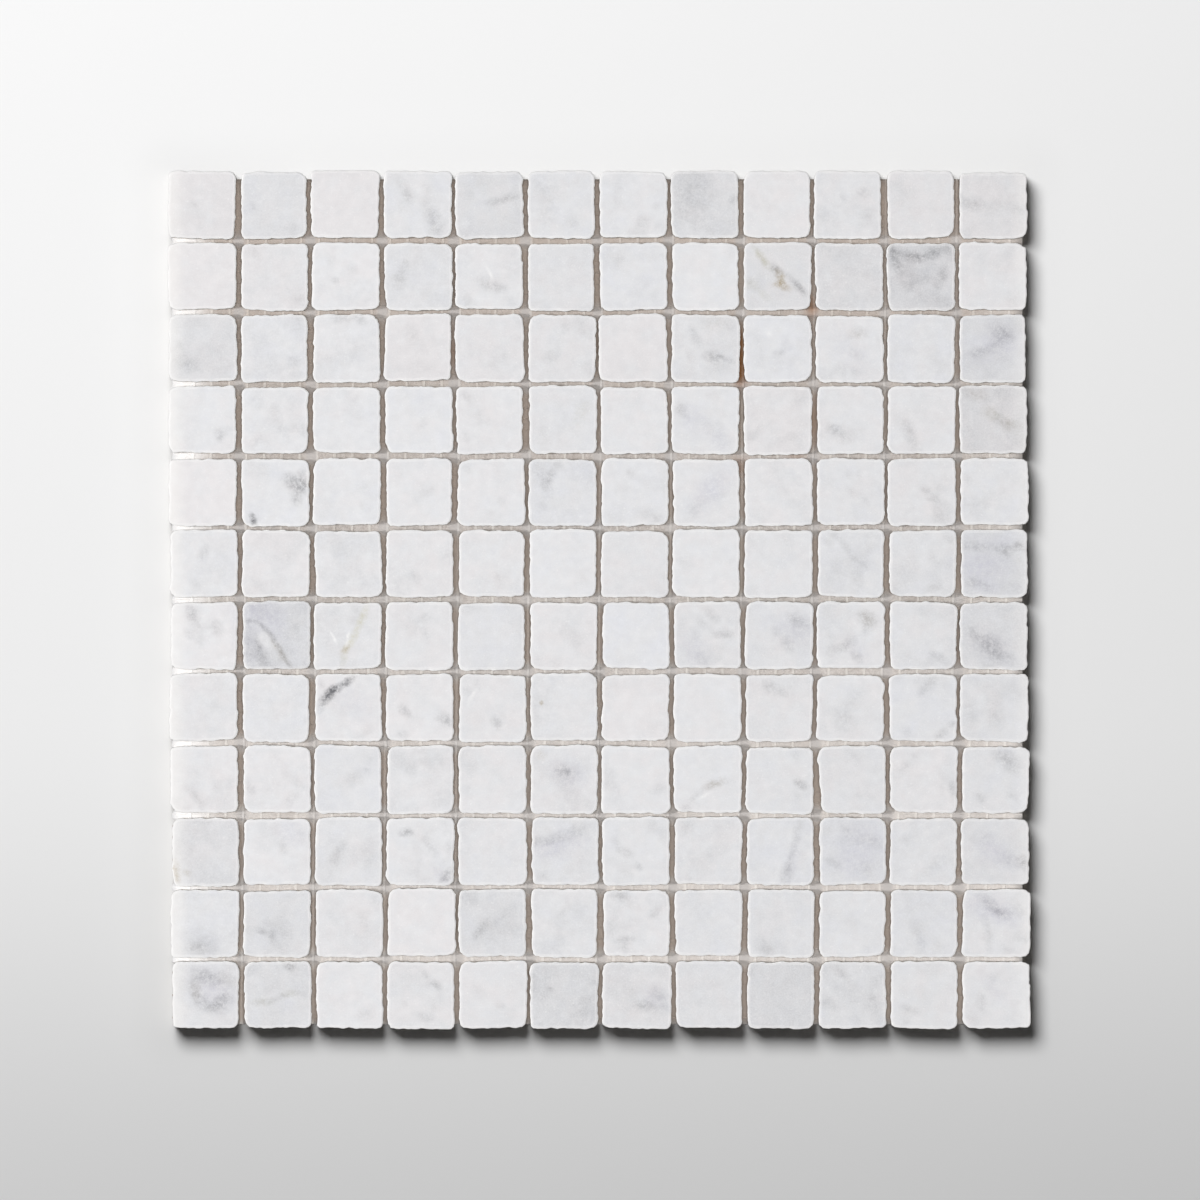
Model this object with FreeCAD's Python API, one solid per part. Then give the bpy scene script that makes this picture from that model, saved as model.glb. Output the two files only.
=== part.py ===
import FreeCAD, Part
import math
import os
import random

# Mosaic tile sheet: tumbled marble tiles, face up, bonded to an open glass-fibre mesh.
# Millimetres and degrees. +X runs along a row, +Y up a column, +Z out of the tiles' faces.
# The origin is in the middle of the mesh's underside. Row 1 is at +Y and column 1 at -X.

# Sheet of tiles
rows = 12
columns = 12
tile_side = 23.5
tile_thickness = 10.0
joint_width = 1.9
column_lean = 0.3  # the columns drift to +X on their way down the sheet

# Wear of a tumbled tile
corner_reach = 2.7  # how far from its tip a corner is rounded off
corner_flats = 3  # a rounded corner is made of this many flats
worn_edge = 0.6  # width of the bevel worn along the edges of the face
corner_scatter = 0.4  # how far a corner strays from its true place
reach_scatter = 0.9
place_scatter = 0.2  # how far a tile is laid from its true place
turn_scatter = 0.3

# Glass-fibre mesh: flat lengthwise strands on thinner crosswise ones
lengthwise_pitch = 6.27
lengthwise_width = 1.0
lengthwise_thickness = 0.2
lengthwise_lean = 0.5  # these strands drift the other way than the columns of tiles
crosswise_pitch = 4.0
crosswise_width = 0.7
crosswise_thickness = 0.2

# How far the cut edge of the mesh lies inside the outer tiles
mesh_inset_top = 2.5
mesh_inset_bottom = 1.2
mesh_inset_left = 0.3
mesh_inset_right = 1.6

# Tiles worn far out of square, by row and column: how far a corner lies to +X and to +Y
# of its true place, and how much more of it is rounded off than of other corners
odd_corners = {
    (1, 11): {"bottom_right": (0.3, 0.2, 2.4), "top_right": (-0.3, 0.0, 0.4)},
    (3, 9): {"bottom_right": (0.7, 0.0, 2.6), "top_right": (0.2, 0.0, 1.2)},
    (5, 8): {"bottom_left": (0.6, 0.0, 0.6), "top_left": (-0.1, 0.0, 0.0)},
    (6, 7): {"top_right": (0.1, -0.2, 1.6), "top_left": (0.1, -0.3, 0.0)},
    (9, 10): {"bottom_left": (1.3, 0.0, 0.0), "top_left": (-0.5, -0.2, 1.2)},
    (12, 1): {"bottom_right": (-0.5, 0.1, 0.4), "top_right": (-0.3, 0.0, 0.0)},
    (12, 2): {"bottom_left": (0.2, 0.2, 1.0), "top_left": (0.2, -0.1, 0.8)},
}

# Corners in the order in which they follow each other round a tile
corner_places = {
    "bottom_left": (-1, -1),
    "bottom_right": (1, -1),
    "top_right": (1, 1),
    "top_left": (-1, 1),
}

tile_pitch = tile_side + joint_width
sheet_length = rows * tile_pitch - joint_width
sheet_width = columns * tile_pitch - joint_width
mesh_left = mesh_inset_left - sheet_width / 2
mesh_right = sheet_width / 2 - mesh_inset_right
mesh_bottom = mesh_inset_bottom - sheet_length / 2
mesh_top = sheet_length / 2 - mesh_inset_top
mesh_thickness = crosswise_thickness + lengthwise_thickness
upright = FreeCAD.Vector(0, 0, 1)


def rounded_corner(before, tip, after, reach):
    """Points of the curve that rounds the corner at tip, between its two neighbours."""
    start = tip + (before - tip).normalize() * reach
    end = tip + (after - tip).normalize() * reach
    points = []
    for flat in range(corner_flats + 1):
        along = flat / corner_flats
        back = 1 - along
        points.append(start * back**2 + tip * (2 * along * back) + end * along**2)
    return points


def tile_outline(row, column, wear):
    """Closed outline of one tile about its own middle, out of square by its own wear."""
    odd = odd_corners.get((row, column), {})
    tips = []
    reaches = []
    for name, (side_x, side_y) in corner_places.items():
        stray_x = wear.uniform(-corner_scatter, corner_scatter)
        stray_y = wear.uniform(-corner_scatter, corner_scatter)
        extra_reach = wear.uniform(-reach_scatter, reach_scatter)
        if name in odd:
            stray_x, stray_y, extra_reach = odd[name]
        half_side = tile_side / 2
        tips.append(FreeCAD.Vector(side_x * half_side + stray_x, side_y * half_side + stray_y, 0))
        reaches.append(corner_reach + extra_reach)
    outline = []
    for index, tip in enumerate(tips):
        following = tips[(index + 1) % len(tips)]
        outline += rounded_corner(tips[index - 1], tip, following, reaches[index])
    outline.append(outline[0])
    return Part.makePolygon(outline)


def tile(row, column):
    """One tile, bevelled round its face and laid in its place on the mesh."""
    wear = random.Random(f"tile {row} {column}")
    body = Part.Face(tile_outline(row, column, wear)).extrude(upright * tile_thickness)
    face_edges = [edge for edge in body.Edges if edge.BoundBox.ZMin > tile_thickness / 2]
    body = body.makeChamfer(worn_edge, face_edges)
    body.rotate(FreeCAD.Vector(), upright, wear.uniform(-turn_scatter, turn_scatter))
    down = (row - (rows + 1) / 2) * tile_pitch
    across = (column - (columns + 1) / 2) * tile_pitch + down * math.tan(math.radians(column_lean))
    across += wear.uniform(-place_scatter, place_scatter)
    down += wear.uniform(-place_scatter, place_scatter)
    body.translate(FreeCAD.Vector(across, -down, mesh_thickness))
    return body


def tile_row(row):
    return Part.makeCompound([tile(row, column) for column in range(1, columns + 1)])


def strand_middles(low, high, pitch):
    """Middles of the strands between low and high, counted both ways from the one at zero."""
    first = math.ceil(low / pitch)
    last = math.floor(high / pitch)
    return [index * pitch for index in range(first, last + 1)]


def crosswise_strands():
    edge = crosswise_width / 2
    strands = []
    for middle in strand_middles(mesh_bottom + edge, mesh_top - edge, crosswise_pitch):
        corner = FreeCAD.Vector(mesh_left, middle - edge, 0)
        length = mesh_right - mesh_left
        strands.append(Part.makeBox(length, crosswise_width, crosswise_thickness, corner))
    return Part.makeCompound(strands)


def lengthwise_strands():
    length = mesh_top - mesh_bottom
    middle_y = (mesh_top + mesh_bottom) / 2
    drift = length / 2 * math.tan(math.radians(lengthwise_lean))
    edge = drift + lengthwise_width / 2
    strands = []
    for middle in strand_middles(mesh_left + edge, mesh_right - edge, lengthwise_pitch):
        corner = FreeCAD.Vector(middle - lengthwise_width / 2, mesh_bottom, crosswise_thickness)
        strand = Part.makeBox(lengthwise_width, length, lengthwise_thickness, corner)
        strand.rotate(FreeCAD.Vector(middle, middle_y, 0), upright, -lengthwise_lean)
        strands.append(strand)
    return Part.makeCompound(strands)


os.makedirs("parts", exist_ok=True)
for row in range(1, rows + 1):
    tile_row(row).exportStep(f"parts/tile_row_{row:02d}.step")
crosswise_strands().exportStep("parts/mesh_crosswise_strands.step")
lengthwise_strands().exportStep("parts/mesh_lengthwise_strands.step")
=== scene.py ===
# %% [markdown]
# # A sheet of tumbled marble mosaic
# The sheet is 144 small squares of white marble, glued face up on an open glass-fibre mesh.
# The measured solids of every tile and strand are already there, so this lesson only dresses
# them: it wears the tiles as a tumbling drum does, gives the mesh its yarns and its glue, and
# finds a finish for the stone, the fibres and the stains.

# %% Load the measured sheet
import math
import random

import bmesh
import bpy
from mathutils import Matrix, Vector


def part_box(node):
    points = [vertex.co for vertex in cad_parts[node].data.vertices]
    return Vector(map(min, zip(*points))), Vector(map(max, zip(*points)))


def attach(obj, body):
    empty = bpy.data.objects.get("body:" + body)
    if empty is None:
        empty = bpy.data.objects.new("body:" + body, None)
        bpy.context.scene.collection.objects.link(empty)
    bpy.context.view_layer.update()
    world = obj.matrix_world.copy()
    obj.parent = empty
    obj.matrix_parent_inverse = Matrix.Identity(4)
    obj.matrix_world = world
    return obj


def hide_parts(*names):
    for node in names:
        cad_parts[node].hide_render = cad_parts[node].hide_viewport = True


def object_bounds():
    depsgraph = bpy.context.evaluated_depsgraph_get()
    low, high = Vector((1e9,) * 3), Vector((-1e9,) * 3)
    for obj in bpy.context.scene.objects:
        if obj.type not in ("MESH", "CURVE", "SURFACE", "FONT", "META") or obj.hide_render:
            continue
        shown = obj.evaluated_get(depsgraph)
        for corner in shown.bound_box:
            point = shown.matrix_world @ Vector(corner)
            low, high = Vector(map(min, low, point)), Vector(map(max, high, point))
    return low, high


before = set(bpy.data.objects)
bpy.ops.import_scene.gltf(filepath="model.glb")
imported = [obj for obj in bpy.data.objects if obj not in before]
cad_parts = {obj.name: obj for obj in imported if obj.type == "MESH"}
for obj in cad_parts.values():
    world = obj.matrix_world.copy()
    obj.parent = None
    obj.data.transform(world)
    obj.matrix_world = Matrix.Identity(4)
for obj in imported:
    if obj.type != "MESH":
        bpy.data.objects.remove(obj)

solid_low, solid_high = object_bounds()
mm = 0.001
rows = 12
columns = 12
tile_pitch = 25.4 * mm
half_joint = 0.95 * mm
left_side = half_joint - columns / 2 * tile_pitch
column_lean = math.radians(0.3)
print("solids from", solid_low[:], "to", solid_high[:])

# %% [markdown]
# ## Places in the photograph
# Marks and stains are placed by the pixel at which the photograph shows them. The view
# is straight down, so one scale and one middle turn a pixel into a place on the sheet.

# %% From photo pixels to metres
photo_size = 1200
tile_pitch_pixels = 71.86
pixel = tile_pitch / tile_pitch_pixels
photo_middle_x = 0.3 * mm
photo_middle_y = -0.05 * mm


def place(pixel_x, pixel_y):
    """Place on the sheet, in metres, of a pixel of the photograph."""
    return (
        photo_middle_x + (pixel_x - photo_size / 2) * pixel,
        photo_middle_y + (photo_size / 2 - pixel_y) * pixel,
        0,
    )


print("the photo's corner is at", place(0, 0))

# %% [markdown]
# ## Tumbled tiles
# Sawn tiles are tumbled with grit and water until their edges are gone. Each tile is a copy of
# its measured solid. Its long sides are cut into short stretches, so that they can wander, the
# bevel round the face is made flatter and softer, and the face gets a ring that keeps it flat
# inside.

# %% Helpers for editing a piece
touching = 0.01 * mm
flat_angle = math.radians(2)


def start_editing(piece):
    bpy.ops.object.select_all(action="DESELECT")
    bpy.context.view_layer.objects.active = piece
    piece.select_set(True)
    bpy.ops.object.mode_set(mode="EDIT")
    bpy.ops.mesh.select_all(action="DESELECT")


def pick_edges(piece, wanted):
    """Selects, in edit mode, the edges whose two ends pass the test."""
    bpy.ops.mesh.select_mode(type="EDGE")
    bpy.ops.mesh.select_all(action="DESELECT")
    shape = bmesh.from_edit_mesh(piece.data)
    for edge in shape.edges:
        if wanted(edge.verts[0].co, edge.verts[1].co):
            edge.select_set(True)
    bmesh.update_edit_mesh(piece.data)


def pick_faces(piece, wanted):
    """Selects, in edit mode, the faces that pass the test."""
    bpy.ops.mesh.select_mode(type="FACE")
    bpy.ops.mesh.select_all(action="DESELECT")
    shape = bmesh.from_edit_mesh(piece.data)
    for face in shape.faces:
        if wanted(face):
            face.select_set(True)
    bmesh.update_edit_mesh(piece.data)


def apply_modifiers(piece):
    """Makes what the modifiers do to the piece part of its own mesh."""
    bpy.context.view_layer.objects.active = piece
    for modifier in list(piece.modifiers):
        bpy.ops.object.modifier_apply(modifier=modifier.name)


def copy_of_node(node_name, piece_name):
    """A new piece from a measured solid, with its loose triangles joined into flat faces."""
    piece = bpy.data.objects.new(piece_name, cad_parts[node_name].data.copy())
    bpy.context.scene.collection.objects.link(piece)
    piece.data.materials.clear()
    start_editing(piece)
    bpy.ops.mesh.select_all(action="SELECT")
    bpy.ops.mesh.remove_doubles(threshold=touching)
    bpy.ops.mesh.dissolve_limited(angle_limit=flat_angle)
    return piece


def keep_inside(piece, low, high):
    """Draws the points that stick out of the measured box back to it."""
    for vertex in piece.data.vertices:
        for axis in range(3):
            vertex.co[axis] = min(max(vertex.co[axis], low[axis]), high[axis])


# %% Cut the sides of a row of tiles and soften their bevels
tile_top = solid_high.z
worn_edge = 0.6 * mm
arris_drop = 0.25 * mm
arris_softness = 0.15 * mm
face_ring = 0.6 * mm
solid_shoulder = tile_top - worn_edge
shoulder = tile_top - arris_drop
longest_corner_flat = 3 * mm
smallest_face = 100 * mm * mm
side_cuts = 27
wall_cuts = 3
level = 0.02 * mm
facing_up = 0.99


def is_level(a, b):
    return abs(a.z - b.z) < level


def is_face_loop(a, b):
    return is_level(a, b) and (a.z > tile_top - level or abs(a.z - shoulder) < level)


def cut_tiles(piece):
    """Gives a row of tiles the flatter arris and enough points to wear them."""
    pick_edges(piece, lambda a, b: is_level(a, b) and abs(a.z - solid_shoulder) < level)
    bpy.ops.transform.translate(value=(0, 0, shoulder - solid_shoulder))
    pick_edges(piece, lambda a, b: is_level(a, b) and (a - b).length < longest_corner_flat)
    bpy.ops.mesh.subdivide(number_cuts=1)
    pick_edges(piece, lambda a, b: is_level(a, b) and (a - b).length > longest_corner_flat)
    bpy.ops.mesh.subdivide(number_cuts=side_cuts)
    pick_edges(piece, lambda a, b: abs(a.z - b.z) > worn_edge * 2)
    bpy.ops.mesh.subdivide(number_cuts=wall_cuts)
    pick_edges(piece, is_face_loop)
    bpy.ops.mesh.bevel(offset=arris_softness, segments=2, clamp_overlap=False)
    pick_faces(piece, lambda face: face.normal.z > facing_up and face.calc_area() > smallest_face)
    bpy.ops.mesh.inset(thickness=face_ring)
    bpy.ops.object.mode_set(mode="OBJECT")


# %% [markdown]
# Tumbling leaves no side straight. Two soft noises push the outline a little along X and along
# Y, which keeps faces and backs flat, and a sharper one bites small chips out of the arris. The
# soft ones are read through a very tall empty, so that they don't change with height: a side
# then stays upright below its arris, and no part of it sticks out into the joint.

# %% Wear the outlines and chip the arrises
side_wander = 0.8 * mm
nibble_depth = 0.2 * mm
smooth_angle = math.radians(50)
ruler_height = 1000
fully_up = 0.999


def wear_noise(name, size):
    noise = bpy.data.textures.new(name, "CLOUDS")
    noise.noise_scale = size
    noise.noise_depth = 2
    return noise


def push(piece, direction, noise, strength, middle=0.5, group="", ruler=None):
    """Lets a noise push the points of a piece to and fro."""
    modifier = piece.modifiers.new("push " + direction, "DISPLACE")
    modifier.texture = noise
    modifier.texture_coords = "OBJECT" if ruler else "LOCAL"
    modifier.texture_coords_object = ruler
    modifier.direction = direction
    modifier.mid_level = middle
    modifier.strength = strength
    modifier.vertex_group = group


wander = wear_noise("wander of the sides", 4.5 * mm)
notches = wear_noise("notches in the sides", 2.3 * mm)
nibble = wear_noise("nibbles along the edges", 1.1 * mm)

bpy.ops.object.empty_add(location=(0, 0, 0))
tall_ruler = bpy.context.active_object
tall_ruler.scale.z = ruler_height
bpy.context.view_layer.update()


def wear_tiles(piece):
    shape = piece.data
    worn = piece.vertex_groups.new(name="worn by the drum")
    for vertex in shape.vertices:
        on_face = vertex.co.z > tile_top - level and vertex.normal.z > fully_up
        worn.add([vertex.index], 0.0 if on_face else 1.0, "REPLACE")
    for direction in ("X", "Y"):
        for noise in (wander, notches):
            push(piece, direction, noise, side_wander, group=worn.name, ruler=tall_ruler)
    push(piece, "NORMAL", nibble, nibble_depth, middle=0.0, group=worn.name)
    apply_modifiers(piece)
    keep_inside(piece, solid_low, solid_high)
    bpy.ops.object.select_all(action="DESELECT")
    piece.select_set(True)
    bpy.ops.object.shade_smooth_by_angle(angle=smooth_angle)
    for face in shape.polygons:
        if face.area > smallest_face:
            face.use_smooth = False


# %% [markdown]
# Every tile was sawn from its own place in the block, so its clouds and veins have nothing to
# do with its neighbour's. Two attributes on the mesh carry that: where in the block a tile was
# cut, and what its stone is like. The tiles that stand out in the photograph are set in coarse
# steps, and the others by chance. A painted shade in the greyness of the stone darkens the
# sheet a little to the right and down. A third attribute marks all that lies outside the flat
# of the face, which the drum has bruised.

# %% Give every tile its own stone
block_size = 3.0
# Painted shade: the stone greys a little with each column and each row, darker to the right and down
# the sheet
painted_shade_each_column = 0.009
painted_shade_each_row = 0.006
# What chance draws from: for cloudiness two limits, for the others a middle and a spread
usual_greyness = (0.09, 0.06)
usual_cloudiness = (0.1, 0.4)
usual_warmth = (0.1, 0.2)
# By row and column: how grey, how cloudy, and how warm (or, below zero, how blue)
odd_stones = {
    (1, 1): (0.2, 0.2, 0.9), (1, 2): (0.3, 0.2, 0.0), (1, 3): (0.1, 0.1, 1.0),
    (1, 5): (0.3, 0.3, 0.1), (1, 8): (0.3, 0.5, 0.0), (1, 9): (0.0, 0.2, 0.6),
    (1, 12): (0.2, 0.3, 0.7), (2, 1): (0.1, 0.2, 1.0), (2, 6): (0.2, 0.3, 0.1),
    (2, 8): (0.0, 0.1, 0.1), (2, 10): (0.3, 0.4, 0.3), (2, 11): (0.4, 0.5, 0.3),
    (3, 1): (0.3, 0.4, 0.2), (3, 4): (0.1, 0.2, 0.9), (3, 7): (0.1, 0.1, 0.9),
    (3, 12): (0.3, 0.4, -0.3), (4, 9): (0.1, 0.2, 0.8), (4, 12): (0.4, 0.3, 0.7),
    (5, 1): (0.0, 0.1, 0.9), (6, 2): (0.1, 0.3, 0.6), (6, 6): (0.0, 0.1, 0.1),
    (6, 8): (0.0, 0.1, 0.1), (6, 12): (0.3, 0.3, -0.5), (7, 2): (0.4, 0.5, -0.4),
    (7, 12): (0.3, 0.3, 0.0), (8, 7): (0.0, 0.2, 0.7), (8, 8): (0.0, 0.1, 0.1),
    (9, 7): (0.0, 0.1, 0.1), (9, 8): (0.0, 0.1, 0.1), (10, 1): (0.3, 0.5, 0.2),
    (10, 10): (0.2, 0.2, -0.4), (11, 2): (0.3, 0.5, 0.0), (11, 4): (0.0, 0.1, 0.6),
    (11, 5): (0.3, 0.4, 0.0), (12, 2): (0.3, 0.4, 0.0), (12, 6): (0.4, 0.5, 0.0),
    (12, 9): (0.4, 0.4, 0.0), (12, 10): (0.2, 0.3, 0.0),
}


def set_stones(piece, row, low_x):
    """Stores, on every point of a row of tiles, where its stone was cut and what it is like, with a
    painted shade in its greyness.
    """
    cuts = []
    stones = []
    for column in range(1, columns + 1):
        chance = random.Random(f"stone {row} {column}")
        cuts.append([chance.uniform(-block_size, block_size) for _ in range(3)])
        greyness = abs(chance.gauss(*usual_greyness))
        cloudiness = chance.uniform(*usual_cloudiness)
        warmth = chance.gauss(*usual_warmth)
        stone = odd_stones.get((row, column), (greyness, cloudiness, warmth))
        # Painted shade, greater to the right and down the sheet, added to the greyness
        greyer = painted_shade_each_column * column + painted_shade_each_row * row
        stones.append((stone[0] + greyer, *stone[1:]))
    attributes = piece.data.attributes
    for name, kind in (("cut", "FLOAT_VECTOR"), ("stone", "FLOAT_VECTOR"), ("bruise", "FLOAT")):
        attributes.new(name, kind, "POINT")
    for index, vertex in enumerate(piece.data.vertices):
        column = min(int((vertex.co.x - low_x) / tile_pitch), columns - 1)
        attributes["cut"].data[index].vector = cuts[column]
        attributes["stone"].data[index].vector = stones[column]
        attributes["bruise"].data[index].value = 1.0
    for face in piece.data.polygons:
        if face.area > smallest_face and face.normal.z > 0:
            for index in face.vertices:
                attributes["bruise"].data[index].value = 0.0


# %% Make the twelve rows
tile_rows = []
for row in range(1, rows + 1):
    node_name = f"tile_row_{row:02d}"
    piece = copy_of_node(node_name, f"tumbled_tiles_row_{row:02d}")
    cut_tiles(piece)
    wear_tiles(piece)
    set_stones(piece, row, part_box(node_name)[0].x - half_joint)
    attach(piece, "root")
    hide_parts(node_name)
    tile_rows.append(piece)
    print(piece.name, len(piece.data.polygons), "faces")
bpy.data.objects.remove(tall_ruler)

# %% [markdown]
# ## The mesh that carries the tiles
# The mesh is woven: flat cream bundles of glass fibre run down the sheet, and pairs of thinner
# yarns run across it, crossing over each other between two bundles so that they grip them. The
# bundles are copies of their solids, cut along their length so that they can waver.

# %% Flat lengthwise bundles
bundle_cuts = 90
bundle_rounding = 0.06 * mm
fibre_roughness = 0.08 * mm
mesh_waver = 0.5 * mm
bundle_wander = wear_noise("wander of the bundles", 7 * mm)

flat_bundles = copy_of_node("mesh_lengthwise_strands", "flat_lengthwise_bundles")
pick_edges(flat_bundles, lambda a, b: (a - b).length > longest_corner_flat)
bpy.ops.mesh.bevel(offset=bundle_rounding, segments=1)
pick_edges(flat_bundles, lambda a, b: (a - b).length > longest_corner_flat)
bpy.ops.mesh.subdivide(number_cuts=bundle_cuts)
bpy.ops.object.mode_set(mode="OBJECT")
push(flat_bundles, "X", bundle_wander, mesh_waver)
push(flat_bundles, "NORMAL", nibble, fibre_roughness)
apply_modifiers(flat_bundles)
keep_inside(flat_bundles, *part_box("mesh_lengthwise_strands"))
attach(flat_bundles, "root")
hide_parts("mesh_lengthwise_strands")
print(flat_bundles.name, len(flat_bundles.data.polygons), "faces")

# %% [markdown]
# One stretch of a yarn is a slim tube that passes two bundles, bent by moving its rings. Its
# partner is bent the other way. The pair is repeated across the sheet, and then down it.

# %% Crossing pairs of yarns
yarn_pitch = 4 * mm
yarn_radius = 0.15 * mm
yarn_flatness = 0.5
yarn_aside = 0.19 * mm
yarn_rise = 0.02 * mm
yarn_sides = 5
stretches = 24
strand_half_width = 0.35 * mm
mesh_low, mesh_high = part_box("mesh_crosswise_strands")
stretch = (mesh_high.x - mesh_low.x) / stretches
first_pair_y = mesh_low.y + strand_half_width
last_pair_y = mesh_high.y - strand_half_width
pairs = 1 + round((last_pair_y - first_pair_y) / yarn_pitch)
# Along the stretch: share of its length, side on which the yarn lies, and whether it rises
yarn_rings = ((0, -1, 0), (0.25, 0, 1), (0.5, 1, 0), (0.75, 0, 1), (1, -1, 0))


def pick_ring(piece, ring_x):
    """Selects, in edit mode, the ring of points of a yarn at this place along it."""
    bpy.ops.mesh.select_mode(type="VERT")
    bpy.ops.mesh.select_all(action="DESELECT")
    shape = bmesh.from_edit_mesh(piece.data)
    for vertex in shape.verts:
        vertex.select_set(abs(vertex.co.x - ring_x) < yarn_radius)
    bmesh.update_edit_mesh(piece.data)


def yarn(name, side):
    """One stretch of one yarn of the first pair, starting on this side of the pair's middle."""
    bpy.ops.object.select_all(action="DESELECT")
    bpy.ops.mesh.primitive_cylinder_add(
        vertices=yarn_sides,
        radius=yarn_radius,
        depth=stretch,
        end_fill_type="NOTHING",
        location=(mesh_low.x + stretch / 2, first_pair_y, (mesh_low.z + mesh_high.z) / 2),
        rotation=(0, math.pi / 2, 0),
    )
    piece = bpy.context.active_object
    piece.name = name
    piece.scale.x = yarn_flatness
    bpy.ops.object.transform_apply(location=True, rotation=True, scale=True)
    start_editing(piece)
    pick_edges(piece, lambda a, b: (a - b).length > stretch / 2)
    bpy.ops.mesh.subdivide(number_cuts=len(yarn_rings) - 2)
    for share, aside, rise in yarn_rings:
        pick_ring(piece, mesh_low.x + share * stretch)
        step = (0, side * aside * yarn_aside, side * rise * yarn_rise)
        bpy.ops.transform.translate(value=step)
    bpy.ops.object.mode_set(mode="OBJECT")
    return piece


def repeat(piece, count, step):
    """Sets this many copies of the piece in a line, and welds their ends."""
    modifier = piece.modifiers.new("repeat", "ARRAY")
    modifier.count = count
    modifier.use_relative_offset = False
    modifier.use_constant_offset = True
    modifier.constant_offset_displace = step
    modifier.use_merge_vertices = True
    modifier.merge_threshold = touching


yarn_pairs = yarn("crosswise_yarn_pairs", 1)
yarn("partner", -1)
bpy.context.view_layer.objects.active = yarn_pairs
yarn_pairs.select_set(True)
bpy.ops.object.join()
repeat(yarn_pairs, stretches, (stretch, 0, 0))
repeat(yarn_pairs, pairs, (0, yarn_pitch, 0))
push(yarn_pairs, "Y", bundle_wander, mesh_waver)
apply_modifiers(yarn_pairs)
keep_inside(yarn_pairs, mesh_low, mesh_high)
bpy.ops.object.shade_smooth()
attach(yarn_pairs, "root")
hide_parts("mesh_crosswise_strands")
print(yarn_pairs.name, pairs, "pairs,", len(yarn_pairs.data.polygons), "faces")

# %% [markdown]
# Glue holds the tiles, and what is squeezed out from under them dries as a thin uneven film
# along the joints, round the yarns. A grid of squares, one for each tile, gets an inset in each
# square, and what lies inside the insets is deleted, which leaves the bands under the joints.

# %% Film of dried glue along the joints
band_half_width = 2.3 * mm
film_middle_z = 0.12 * mm
film_thickness = 0.06 * mm
film_cuts = 3
film_spread = 1.2 * mm
film_lump_height = 0.12 * mm
film_lumps = wear_noise("lumps in the film", 2.2 * mm)


def glue_film():
    """The film under all the joints, as one piece."""
    bpy.ops.object.select_all(action="DESELECT")
    bpy.ops.mesh.primitive_grid_add(
        x_subdivisions=columns, y_subdivisions=rows, size=1, location=(0, 0, film_middle_z)
    )
    film = bpy.context.active_object
    film.name = "dried_glue_film"
    film.scale = (columns * tile_pitch, rows * tile_pitch, 1)
    bpy.ops.object.transform_apply(location=True, rotation=True, scale=True)
    start_editing(film)
    bpy.ops.mesh.select_all(action="SELECT")
    bpy.ops.mesh.inset(thickness=band_half_width, use_individual=True)
    bpy.ops.mesh.delete(type="FACE")
    half_x = columns / 2 * tile_pitch - band_half_width
    half_y = rows / 2 * tile_pitch - band_half_width

    def is_outside(face):
        middle = face.calc_center_median()
        return abs(middle.x) > half_x or abs(middle.y) > half_y

    pick_faces(film, is_outside)
    bpy.ops.mesh.delete(type="FACE")
    bpy.ops.mesh.select_all(action="SELECT")
    bpy.ops.mesh.subdivide(number_cuts=film_cuts)
    bpy.ops.object.mode_set(mode="OBJECT")
    for vertex in film.data.vertices:
        vertex.co.x -= vertex.co.y * math.tan(column_lean)
    push(film, "X", wander, film_spread)
    push(film, "Y", wander, film_spread)
    push(film, "Z", film_lumps, film_lump_height)
    thicken = film.modifiers.new("thickness", "SOLIDIFY")
    thicken.thickness = film_thickness
    apply_modifiers(film)
    bundles_low, bundles_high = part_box("mesh_lengthwise_strands")
    keep_inside(
        film,
        (mesh_low.x, bundles_low.y, mesh_low.z),
        (mesh_high.x, bundles_high.y, bundles_high.z),
    )
    bpy.ops.object.shade_smooth()
    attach(film, "root")
    return film


film = glue_film()
print(film.name, len(film.data.polygons), "faces")

# %% [markdown]
# ## Shader maths as plain maths
# A finish is a web of small nodes. The web reads better as sums, so a varying number is wrapped
# in a small class that knows plus, minus and times, and a finish adds any other node with one
# method.

# %% A varying number and a finish
class Varying:
    """A number that changes over the surface."""

    def __init__(self, finish, socket):
        self.finish = finish
        self.socket = socket

    def __add__(self, other):
        return self.finish.maths("ADD", self, other)

    __radd__ = __add__

    def __sub__(self, other):
        return self.finish.maths("SUBTRACT", self, other)

    def __rsub__(self, other):
        return self.finish.maths("SUBTRACT", other, self)

    def __mul__(self, other):
        return self.finish.maths("MULTIPLY", self, other)

    __rmul__ = __mul__


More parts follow.
